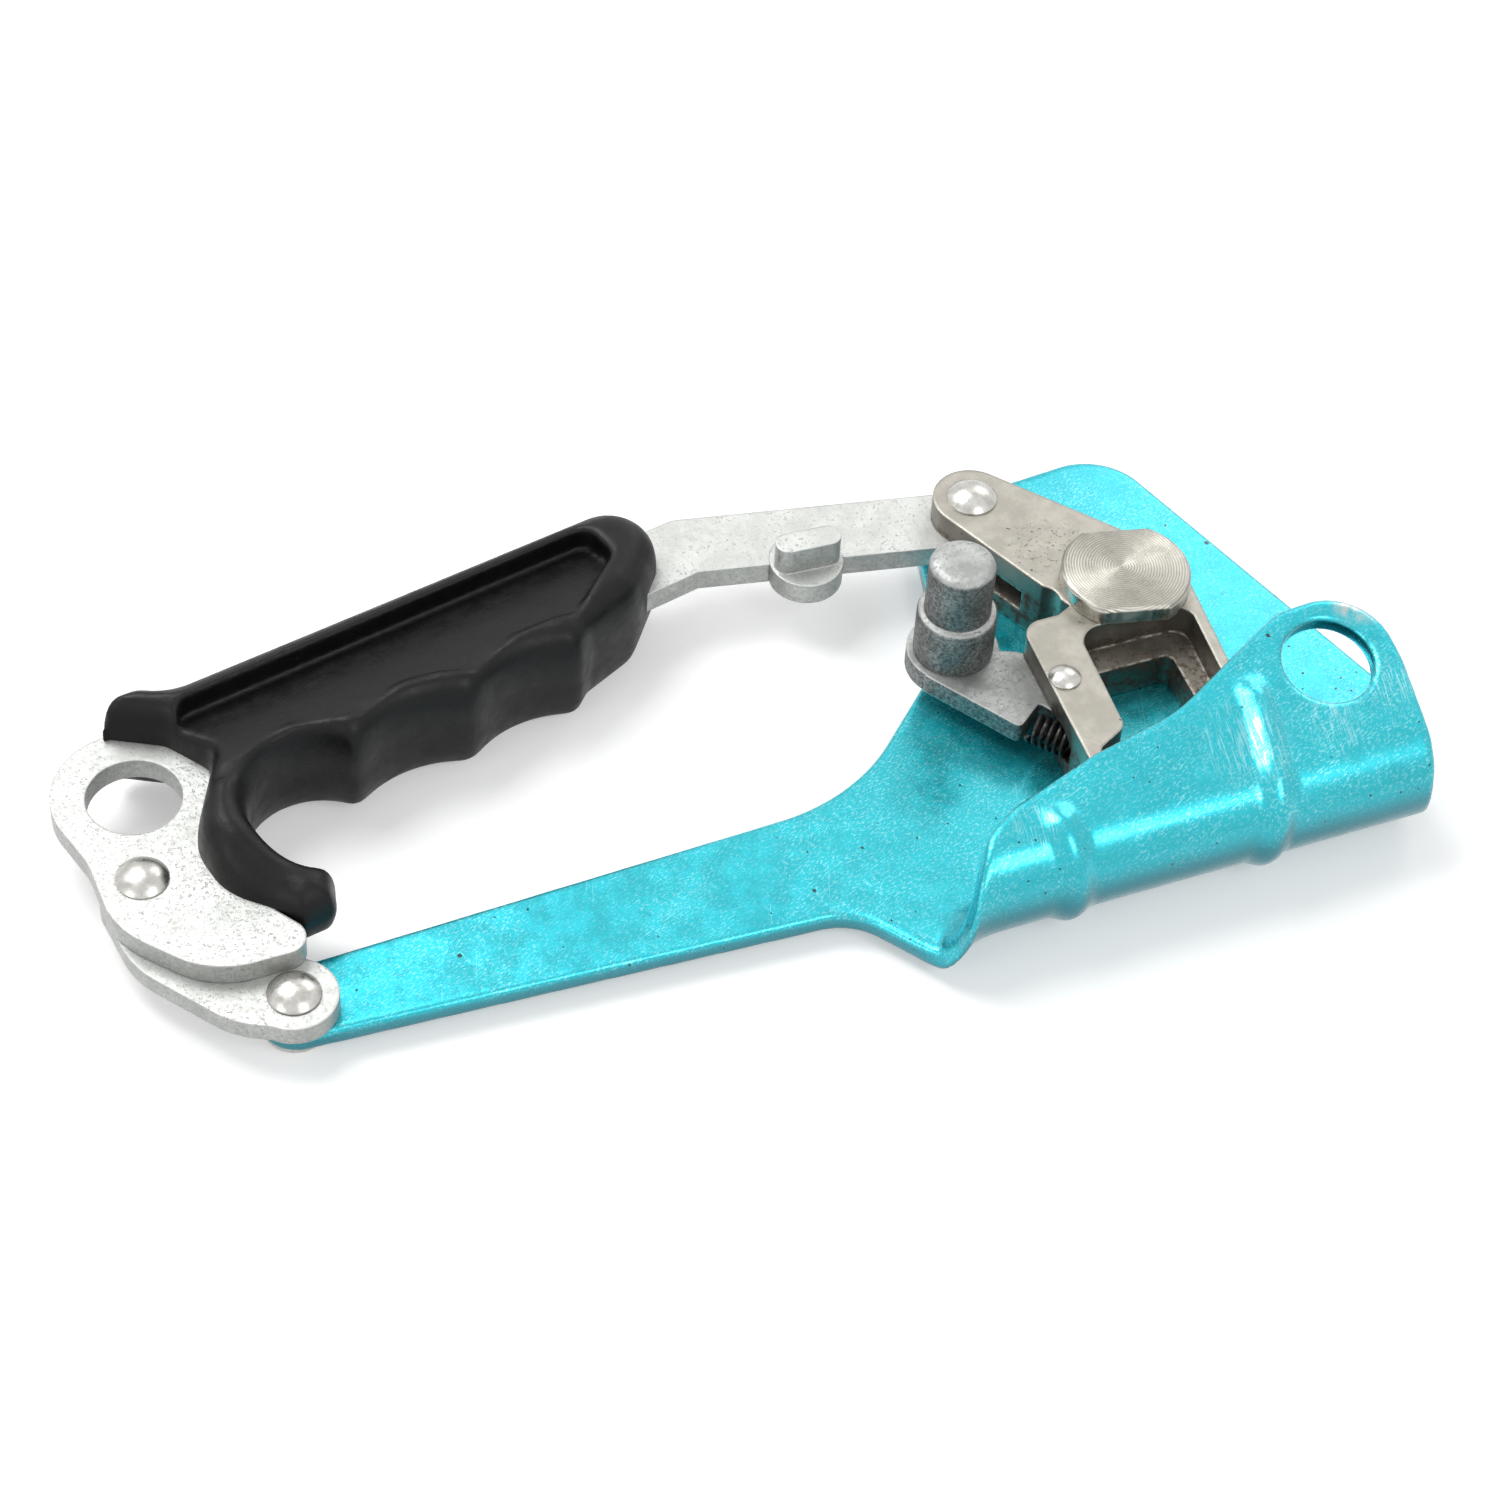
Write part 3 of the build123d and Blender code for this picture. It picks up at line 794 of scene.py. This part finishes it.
def skin(name: str, values: np.ndarray, corner: np.ndarray, step: float) -> Piece:
    """Wraps a mesh round the places where a field is negative.

    Args:
        name: The new object's name.
        values: The field on a regular grid, positive all round its border.
        corner: The grid's first place, in metres.
        step: The grid's spacing, in metres.

    Returns:
        The object, one vertex in each cell that the surface crosses.
    """
    solid = values < 0
    shape = np.array(values.shape) - 1
    corners = [(i, j, k) for i in (0, 1) for j in (0, 1) for k in (0, 1)]
    filled = np.zeros(tuple(shape), np.int8)
    for first in corners:
        filled += solid[tuple(slice(c, c + s) for c, s in zip(first, shape))]
    cells = np.argwhere((filled > 0) & (filled < 8))
    index = np.full(tuple(shape), -1)
    index[tuple(cells.T)] = np.arange(len(cells))
    ends = {c: values[tuple((cells + c).T)] for c in corners}
    total, count = np.zeros((len(cells), 3)), np.zeros(len(cells))
    for first in corners:
        for axis in range(3):
            if first[axis]:
                continue
            second = tuple(c + (a == axis) for a, c in enumerate(first))
            one, two = ends[first], ends[second]
            crossed = (one < 0) != (two < 0)
            share = one / np.where(crossed, one - two, 1.0)
            for a in range(3):
                total[:, a] += np.where(crossed, first[a] + (share if a == axis else 0.0), 0.0)
            count += crossed
    spots = (cells + total / count[:, None]) * step + corner
    faces = []
    for axis in range(3):
        u, v = (axis + 1) % 3, (axis + 2) % 3
        low = [slice(1, -1)] * 3
        high = [slice(1, -1)] * 3
        low[axis], high[axis] = slice(0, -1), slice(1, None)
        one, two = solid[tuple(low)], solid[tuple(high)]
        for flip, mask in ((False, one & ~two), (True, ~one & two)):
            at = np.argwhere(mask)
            at[:, u] += 1
            at[:, v] += 1
            ring = []
            for du, dv in ((-1, -1), (0, -1), (0, 0), (-1, 0)):
                place = at.copy()
                place[:, u] += du
                place[:, v] += dv
                ring.append(index[tuple(place.T)])
            quad = np.stack(ring, axis=1)
            faces.append(quad[:, ::-1] if flip else quad)
    mesh = bpy.data.meshes.new(name)
    mesh.from_pydata(spots.tolist(), [], np.concatenate(faces).tolist())
    mesh.shade_smooth()
    mesh.update()
    return show(name, mesh)


def lathe(name: str, centre: Vector, profile: Sequence[tuple[float, float]],
          turns: int = 72) -> Piece:
    """Turns a profile round an upright axis.

    Args:
        name: The new object's name.
        centre: A place on the axis, in metres; its height isn't used.
        profile: Radius and height pairs from the bottom of the axis to its top.
        turns: How many steps go round.

    Returns:
        The closed solid of revolution.
    """
    angles = [2 * math.pi * step / turns for step in range(turns)]
    spots = [(centre.x + r * MM * math.cos(a), centre.y + r * MM * math.sin(a), z * MM)
             for r, z in profile for a in angles]
    faces = []
    for row in range(len(profile) - 1):
        for step in range(turns):
            following = (step + 1) % turns
            low, high = row * turns, (row + 1) * turns
            faces.append((low + step, low + following, high + following, high + step))
    faces.append(tuple(reversed(range(turns))))
    faces.append(tuple(range((len(profile) - 1) * turns, len(profile) * turns)))
    mesh = bpy.data.meshes.new(name)
    mesh.from_pydata(spots, [], faces)
    mesh.shade_smooth()
    mesh.set_sharp_from_angle(angle=math.radians(34))
    return show(name, mesh)


def crown(radius: float, height: float, level: float, up: float = 1.0,
          rim: float = 0.25, steps: int = 12) -> list[tuple[float, float]]:
    """Profile of a domed head from its rim to its top.

    Args:
        radius: The rim's radius.
        height: The dome's height over the rim.
        level: The height of the face it stands on.
        up: 1 for a head that stands up, -1 for one that hangs.
        rim: The height of the rim's small upright edge.
        steps: How many pieces the arc has.

    Returns:
        Radius and height pairs.
    """
    ball = (radius ** 2 + (height - rim) ** 2) / (2 * (height - rim))
    angle = math.asin(radius / ball)
    turns = [angle * (1 - s / steps) for s in range(steps)]
    arc = [(ball * math.sin(turn), ball * math.cos(turn) - ball) for turn in turns]
    arc.append((AXIS_GAP, 0.0))
    return [(radius, level)] + [(r, level + up * (height + z)) for r, z in arc]


@dataclass
class Headed:
    """A rivet or pin that is turned again with finer curves than its CAD solid."""

    node: str
    body: str
    slot: str
    profile: tuple[tuple[float, float], ...]

    def build(self, material: Material) -> Piece:
        """Turns the piece in place of its CAD solid.

        Args:
            material: Its finish.

        Returns:
            The new piece.
        """
        piece = lathe(self.node + "_turned", upright_axis(self.node), self.profile)
        piece.data.materials.append(material)
        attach(piece, self.body)
        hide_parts(self.node)
        log.info("turned %s", piece.name)
        return piece


@dataclass
class FoldedSheet:
    """The cyan sheet: flat strap and plate, swaged rope channel and tilted lip with its holed tab."""

    step: float = 0.45
    middle: float = 3.75
    half: float = 1.75
    edge: float = 0.9
    bend: float = 8.25
    bend_y: float = -43.0
    tilt: float = 12.4
    flare: float = 5.8
    mouth_start: float = -40.0
    mouth_length: float = 13.0
    pattern: tuple[Place, ...] = (
        (-153.4, -34.8, 6.1), (-62.5, -39.6, 10.0), (-52.8, -53.0, 4.0), (-50.9, -55.0, 3.0),
        (-49.9, -57.8, 4.0), (-47.3, -62.5, 6.0), (-43.4, -68.0, 8.0), (-37.8, -71.3, 8.0),
        (-22.5, -76.3, 30.0), (-7.0, -79.6, 30.0), (15.2, -91.6, 9.0), (30.9, -92.5, 10.0),
        (31.4, -78.2, 20.0), (29.0, -56.0, 20.0), (31.5, -43.0, 12.0), (36.8, -24.0, 8.0),
        (15.8, 39.0, 11.0), (-21.2, 36.0, 12.0), (-28.8, 5.0, 22.0), (-53.5, -18.3, 34.0),
        (-153.4, -21.9, 6.1),
    )
    holes: tuple[Place, ...] = ((19.6, -81.1, 7.3), (0.0, 0.0, 6.0))
    strap_hole: tuple[float, float] = (150.6, 191.24)
    beads: tuple[tuple[float, float, float, float], ...] = (
        (-31.5, -0.8, -41.0, -71.0), (1.6, 4.0, -38.0, -83.0))
    bead_half: float = 3.4
    bead_height: float = 1.2
    bead_crown: float = 0.8
    bead_ends: tuple[float, float] = (8.0, 5.0)
    lean_start: float = -56.0
    lean_length: float = 20.0
    strap_hole_radius: float = 3.0
    pitch: float = 0.4
    margin: float = 4.0

    def unfold(self, x: np.ndarray, y: np.ndarray, z: np.ndarray) -> tuple[np.ndarray, np.ndarray]:
        """Finds where places lie on the unfolded sheet.

        Args:
            x: Places along the rope from the axle.
            y: Places across it.
            z: Heights.

        Returns:
            The distance across the unfolded sheet, and the distance outward from its middle.
        """
        near = np.clip((self.mouth_start - x) / self.mouth_length, 0, 1)
        start = self.bend_y - self.flare * near ** 4
        centre_z = self.middle + self.bend
        dy, dz = start - y, centre_z - z
        whole = math.radians(180.0 - self.tilt)
        angle = np.arctan2(dy, dz)
        angle = np.where(angle < -0.5 * math.pi, angle + 2 * math.pi, angle)
        slope = math.radians(self.tilt)
        along = (y - start) * math.cos(slope) + (z - centre_z) * math.sin(slope)
        across = -(y - start) * math.sin(slope) + (z - centre_z) * math.cos(slope)
        flat = (y >= start) & (z < centre_z)
        lip = (along > 0) & (z >= centre_z)
        round_bend = np.hypot(dy, dz) - self.bend
        out = np.where(flat, self.middle - z, np.where(lip, across - self.bend, round_bend))
        on_bend = start - self.bend * np.clip(angle, 0, whole)
        on_lip = start - self.bend * whole - along
        return np.where(flat, y, np.where(lip, on_lip, on_bend)), out

    def lift(self, x: np.ndarray, place: np.ndarray) -> np.ndarray:
        """How far the swaged beads push the sheet outward.

        Args:
            x: Places along the rope from the axle.
            place: Distances across the unfolded sheet.

        Returns:
            The push.
        """
        total = np.zeros(np.broadcast(x, place).shape)
        for centre, lean, first, last in self.beads:
            up = np.clip((self.lean_start - place) / self.lean_length, 0, 1)
            off = np.abs(x - centre - lean * up) / self.bead_half
            fades = zip((first - place, place - last), self.bead_ends)
            ends = math.prod(np.clip(reach / length, 0, 1) for reach, length in fades)
            hump = np.where(off < 1, 0.5 + 0.5 * np.cos(math.pi * np.clip(off, 0, 1)), 0.0)
            total = np.maximum(total, self.bead_height * hump ** self.bead_crown * eased(ends))
        return total

    def trim(self) -> tuple[np.ndarray, float, float]:
        """Signed distance to the flat pattern on a fine grid.

        Returns:
            The distances, and the grid's first place along and across.
        """
        points = outline(self.pattern)
        x0, y0 = points.min(axis=0) - self.margin
        x1, y1 = points.max(axis=0) + self.margin
        x, y = np.meshgrid(np.arange(x0, x1, self.pitch), np.arange(y0, y1, self.pitch), indexing="ij")
        plan = plan_distance(x, y, points)
        reach, turn = self.strap_hole
        turn = math.radians(turn)
        strap = (reach * math.cos(turn), reach * math.sin(turn), self.strap_hole_radius)
        for hx, hy, radius in (*self.holes, strap):
            plan = np.maximum(plan, radius - np.hypot(x - hx, y - hy))
        return plan, x0, y0

    def build(self, material: Material) -> Piece:
        """Folds the sheet in place of its CAD solid.

        Args:
            material: Its finish.

        Returns:
            The new piece.
        """
        step = self.step * MM
        corner, (x, y, z) = grid("frame", step)
        place, out = self.unfold(x, y, z)
        out = out - self.lift(x, place)
        plan, x0, y0 = self.trim()
        u, v = (x - x0) / self.pitch, (place - y0) / self.pitch
        i = np.clip(u.astype(int), 0, plan.shape[0] - 2)
        j = np.clip(v.astype(int), 0, plan.shape[1] - 2)
        du, dv = np.clip(u - i, 0, 1), np.clip(v - j, 0, 1)
        edge = (plan[i, j] * (1 - du) * (1 - dv) + plan[i + 1, j] * du * (1 - dv)
                + plan[i, j + 1] * (1 - du) * dv + plan[i + 1, j + 1] * du * dv)
        values = slab(edge, out, np.float64(self.half), self.edge)
        piece = skin("folded_sheet", values, corner, step)
        piece.data.materials.append(material)
        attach(piece, "frame_body")
        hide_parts("frame")
        log.info("folded %s with %d faces", piece.name, len(piece.data.polygons))
        return piece


@dataclass
class FrameAssembly:
    """The folded sheet with its axle and strap rivet."""

    finishes: Finishes
    strap_rivet: Headed = field(default_factory=lambda: Headed("strap_rivet", "frame_body", "rivet_steel", (
        (AXIS_GAP, 0.0), (3.4, 0.0), (3.7, 0.3), (3.7, 1.2), (3.0, 1.2), (3.0, 9.1), *crown(4.1, 2.0, 9.1))))

    def build(self) -> None:
        """Folds the sheet, dresses the axle and turns the rivet."""
        FoldedSheet().build(self.finishes.sheet)
        dress("cam_axle", self.finishes.turned)
        dress("axle_washer", self.finishes.turned)
        dress("strap_washer", self.finishes.domed)
        self.strap_rivet.build(self.finishes.domed)


@dataclass
class Cam:
    """The toothed cam with its bush, rivets and springs."""

    finishes: Finishes
    rivets: tuple[Headed, ...] = (
        Headed("lever_rivet", "cam", "rivet_steel", (
            (AXIS_GAP, 5.6), (2.9, 5.6), (3.0, 5.7), (3.0, 17.6), *crown(4.1, 2.0, 17.6))),
        Headed("catch_rivet", "cam", "rivet_steel", (
            (AXIS_GAP, 5.6), (1.5, 5.6), (1.6, 5.7), (1.6, 17.6), *crown(2.6, 1.3, 17.6))),
    )
    springs: tuple[str, ...] = ("cam_return_spring", "catch_spring")

    def build(self) -> None:
        """Dresses the casting and its small parts."""
        dress("cam_body", self.finishes.cast)
        dress("axle_bush", self.finishes.bronze)
        for rivet in self.rivets:
            rivet.build(self.finishes.domed)
        for node in self.springs:
            dress(node, self.finishes.wire)


@dataclass
class SafetyCatch:
    """The catch plate with its thumb pin."""

    finishes: Finishes
    pin: Headed = field(default_factory=lambda: Headed("thumb_pin", "catch", "galvanised", (
        (AXIS_GAP, 9.2), (3.0, 9.2), (3.0, 12.9), (6.2, 12.9), (6.4, 13.1), (6.4, 21.3), (6.1, 21.8),
        (5.7, 21.9), (5.3, 22.1), (5.3, 31.6), (5.1, 32.1), (4.5, 32.55), (3.6, 32.7), (AXIS_GAP, 32.7))))

    def build(self) -> None:
        """Dresses the plate and turns the pin."""
        dress("catch_plate", self.finishes.mottled)
        self.pin.build(self.finishes.mottled)


@dataclass
class Grip:
    """The moulded rubber grip: ridged rim, long recesses, finger scallops and a hooked guard."""

    finishes: Finishes
    step: float = 0.55
    corners: tuple[Place, ...] = (
        (-143.2, -20.0, 1.0), (-137.4, -19.0, 2.2), (-135.4, -10.0, 2.0), (-125.6, 6.0, 0.0),
        (-106.2, 8.8, 0.0), (-87.6, 13.0, 1.5), (-84.2, 16.8, 3.0), (-75.0, 21.4, 6.0),
        (-67.8, 31.0, 5.0), (-69.0, 42.0, 8.0),
        (-150.5, 26.2, 9.0), (-154.6, 28.3, 5.0), (-162.4, 27.4, 4.0), (-161.6, 24.6, 0.8),
        (-152.8, 20.0, 4.0), (-147.4, 12.6, 3.0), (-154.4, -1.5, 9.0), (-152.6, -11.3, 12.0),
    )
    crests: tuple[tuple[float, float], ...] = ((-125.6, 6.0), (-106.2, 8.8), (-87.6, 13.0))
    scallop: float = 3.0
    guard: Place = (-134.8, -1.3, 10.8)
    recess: tuple[Place, ...] = (
        (-150.5, 6.0, 2.0), (-146.8, 4.4, 2.0), (-142.0, 9.6, 3.0), (-135.5, 12.2, 3.0),
        (-124.4, 10.6, 1.5), (-117.0, 14.4, 5.0), (-110.5, 14.6, 4.0), (-105.0, 13.4, 1.5),
        (-97.0, 18.2, 5.0), (-91.0, 19.2, 4.0), (-86.0, 19.6, 2.0), (-76.4, 29.6, 2.5),
        (-78.6, 36.4, 2.5), (-150.5, 21.6, 2.5),
    )
    crest_soft: float = 1.6
    guard_start: tuple[float, float] = (-128.0, -3.0)
    guard_run: tuple[float, float] = (6.0, 13.0)
    guard_thinning: float = 4.6
    edge_soft: float = 3.0
    floor_soft: float = 1.0
    rim_soft: float = 1.2
    roundness: float = 0.98
    inset: float = 0.02
    depth: float = 5.0
    rise: float = 3.7
    slope_length: float = 14.0
    draft: float = 3.4
    draft_height: float = 8.5
    upper_wall: Place = (-150.5, 21.6, 11.6)

    def field(self, x: np.ndarray, y: np.ndarray, level: np.ndarray, half: float) -> np.ndarray:
        """The moulding as a signed distance.

        Args:
            x: Grid places along the rope from the axle.
            y: Grid places across it.
            level: Heights from the grip's middle plane.
            half: Half the grip's thickness.

        Returns:
            The field, negative inside the rubber.
        """
        plan = plan_distance(x[:, :, 0], y[:, :, 0], outline(self.corners))
        for left, right in zip(self.crests, self.crests[1:]):
            chord = Vector(right) - Vector(left)
            radius = (chord.length ** 2 / 4 + self.scallop ** 2) / (2 * self.scallop)
            middle = (Vector(left) + Vector(right)) / 2
            centre = middle + Vector((chord.y, -chord.x)).normalized() * (radius - self.scallop)
            hollow = radius - np.hypot(x[:, :, 0] - centre.x, y[:, :, 0] - centre.y)
            plan = both(plan, hollow, self.crest_soft)
        gx, gy, gr = self.guard
        plan = both(plan, gr - np.hypot(x[:, :, 0] - gx, y[:, :, 0] - gy), self.crest_soft)
        plan = plan[:, :, None]
        across = np.clip((self.guard_start[1] - y) / self.guard_run[1], 0, 1)
        along = np.clip((self.guard_start[0] - x) / self.guard_run[0], 0, 1)
        thick = half - self.guard_thinning * eased(across * along)
        upper = np.clip((np.abs(level) - (thick - self.draft_height)) / self.draft_height, 0, 1)
        recede = self.draft * (1 - np.sqrt(1 - upper * upper * self.roundness))
        body = both(plan + recede, np.abs(level) - thick, self.edge_soft)
        pocket = plan_distance(x[:, :, 0], y[:, :, 0], outline(self.recess))[:, :, None]
        wx, wy, turn = self.upper_wall
        turn = math.radians(turn)
        below = (x - wx) * math.sin(turn) - (y - wy) * math.cos(turn)
        floor = self.depth - self.rise * np.clip(below / self.slope_length, 0, 1)
        sunk = both(pocket, half - floor - np.abs(level), self.floor_soft)
        return both(body, -sunk, self.rim_soft)

    def build(self) -> Piece:
        """Moulds the grip in place of its CAD solid.

        Returns:
            The new piece.
        """
        step = self.step * MM
        corner, (x, y, z) = grid("grip", step)
        bottom, top = (c[2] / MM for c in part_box("grip"))
        values = self.field(x, y, z - (bottom + top) / 2, (top - bottom) / 2 - self.inset)
        piece = skin("grip_moulding", values, corner, step)
        piece.data.materials.append(self.finishes.rubber)
        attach(piece, "handle")
        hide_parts("grip")
        log.info("moulded %s with %d faces", piece.name, len(piece.data.polygons))
        return piece


@dataclass
class Handle:
    """The handle's plate, link, stop lug, eye rivet and grip."""

    finishes: Finishes
    plates: tuple[str, ...] = ("handle_core", "stop_lug", "link")
    eye_rivet: Headed = field(default_factory=lambda: Headed("eye_rivet", "handle", "rivet_steel", (
        *reversed(crown(3.7, 1.4, 4.7, -1.0)), (3.0, 4.7), (3.0, 13.0), *crown(4.1, 2.0, 13.0))))

    def build(self) -> None:
        """Dresses the plates, turns the rivet and moulds the grip."""
        for node in self.plates:
            dress(node, self.finishes.plated)
        dress("eye_washer", self.finishes.domed)
        self.eye_rivet.build(self.finishes.domed)
        Grip(self.finishes).build()


@dataclass
class Studio:
    """Table, lights and camera."""

    eye: Place = (-241.81, -391.23, 489.82)
    target: Place = (-63.36, 0.35, 0.0)
    roll: float = 4.1
    lens: float = 98.4
    sensor: float = 36.0
    near: float = 0.01
    ambient: float = 0.36
    lamps: tuple[tuple[str, Place, float, float], ...] = (
        ("key", (-0.25, 0.45, 0.85), 0.55, 6.5), ("front", (0.22, -0.62, 0.72), 0.34, 1.7),
        ("side", (-0.75, -0.25, 0.45), 0.35, 0.9), ("rear", (0.55, 0.45, 0.5), 0.4, 0.9))
    table_reach: float = 6.0
    table_drop: float = 0.0002
    table_white: float = 0.86
    table_rough: float = 0.9
    table_glow: float = 0.36

    def camera(self) -> None:
        """Sets the camera."""
        data = bpy.data.cameras.new("camera")
        data.lens, data.sensor_width, data.clip_start = self.lens, self.sensor, self.near
        holder = show("camera", data)
        eye, target = placed(*self.eye), placed(*self.target)
        forward = (target - eye).normalized()
        right = forward.cross(Vector((0, 0, 1))).normalized()
        up = right.cross(forward)
        tilt = math.radians(self.roll)
        side = right * math.cos(tilt) + up * math.sin(tilt)
        back = -forward
        turn = Matrix((side, back.cross(side), back)).transposed()
        holder.matrix_world = Matrix.Translation(eye) @ turn.to_4x4()
        bpy.context.scene.camera = holder

    def lamp(self, name: str, place: Sequence[float], size: float, power: float) -> None:
        """Adds a square soft light that faces the object.

        Args:
            name: Its name.
            place: Where it hangs from the object's middle, in metres.
            size: Its side in metres.
            power: Its power in watts.
        """
        data = bpy.data.lights.new(name, "AREA")
        data.size, data.energy = size, power
        holder = show(name, data)
        holder.visible_camera = False
        holder.location = Vector(place)
        holder.rotation_euler = Vector(place).to_track_quat("Z", "Y").to_euler()

    def seen(self, tree: bpy.types.NodeTree) -> Socket:
        """Tells camera, glossy and transmission rays from the others.

        Args:
            tree: The nodes that need it.

        Returns:
            A socket that is 1 for those rays.
        """
        path = tree.nodes.new("ShaderNodeLightPath")
        total = path.outputs["Is Camera Ray"]
        for other in ("Is Glossy Ray", "Is Transmission Ray"):
            node = tree.nodes.new("ShaderNodeMath")
            node.operation, node.use_clamp = "ADD", True
            tree.links.new(total, node.inputs[0])
            tree.links.new(path.outputs[other], node.inputs[1])
            total = node.outputs[0]
        return total

    def world(self) -> None:
        """Lights the scene evenly, with a white background."""
        world = bpy.data.worlds.new("studio")
        bpy.context.scene.world = world
        world.use_nodes = True
        tree = world.node_tree
        background = tree.nodes["Background"]
        background.inputs["Color"].default_value = (1, 1, 1, 1)
        level = tree.nodes.new("ShaderNodeMapRange")
        tree.links.new(self.seen(tree), level.inputs["Value"])
        level.inputs["To Min"].default_value = self.ambient
        level.inputs["To Max"].default_value = 1.0
        tree.links.new(level.outputs[0], background.inputs["Strength"])

    def table(self) -> None:
        """Lays the white table."""
        mesh = bpy.data.meshes.new("table")
        reach = self.table_reach
        mesh.from_pydata([(-reach, -reach, 0), (reach, -reach, 0), (reach, reach, 0), (-reach, reach, 0)],
                         [], [(0, 1, 2, 3)])
        table = show("table", mesh)
        table.location.z = -self.table_drop
        material = bpy.data.materials.new("white table")
        material.use_nodes = True
        tree = material.node_tree
        shader = tree.nodes["Principled BSDF"]
        looks = {"Base Color": (*(self.table_white,) * 3, 1), "Roughness": self.table_rough,
                 "Specular IOR Level": 0.0, "Emission Color": (1, 1, 1, 1)}
        for socket, value in looks.items():
            shader.inputs[socket].default_value = value
        level = tree.nodes.new("ShaderNodeMath")
        level.operation = "MULTIPLY"
        tree.links.new(self.seen(tree), level.inputs[0])
        level.inputs[1].default_value = self.table_glow
        tree.links.new(level.outputs[0], shader.inputs["Emission Strength"])
        mesh.materials.append(material)

    def build(self) -> None:
        """Sets up everything round the object."""
        self.camera()
        self.world()
        self.table()
        for lamp in self.lamps:
            self.lamp(*lamp)
        bpy.context.scene.view_settings.view_transform = "Standard"
        log.info("set the studio")


def main() -> None:
    """Builds the pieces in order."""
    logging.basicConfig(level=logging.INFO)
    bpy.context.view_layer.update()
    finishes = Finishes()
    Studio().build()
    for assembly in (FrameAssembly, Cam, SafetyCatch, Handle):
        assembly(finishes).build()


if __name__ == "__main__":
    main()
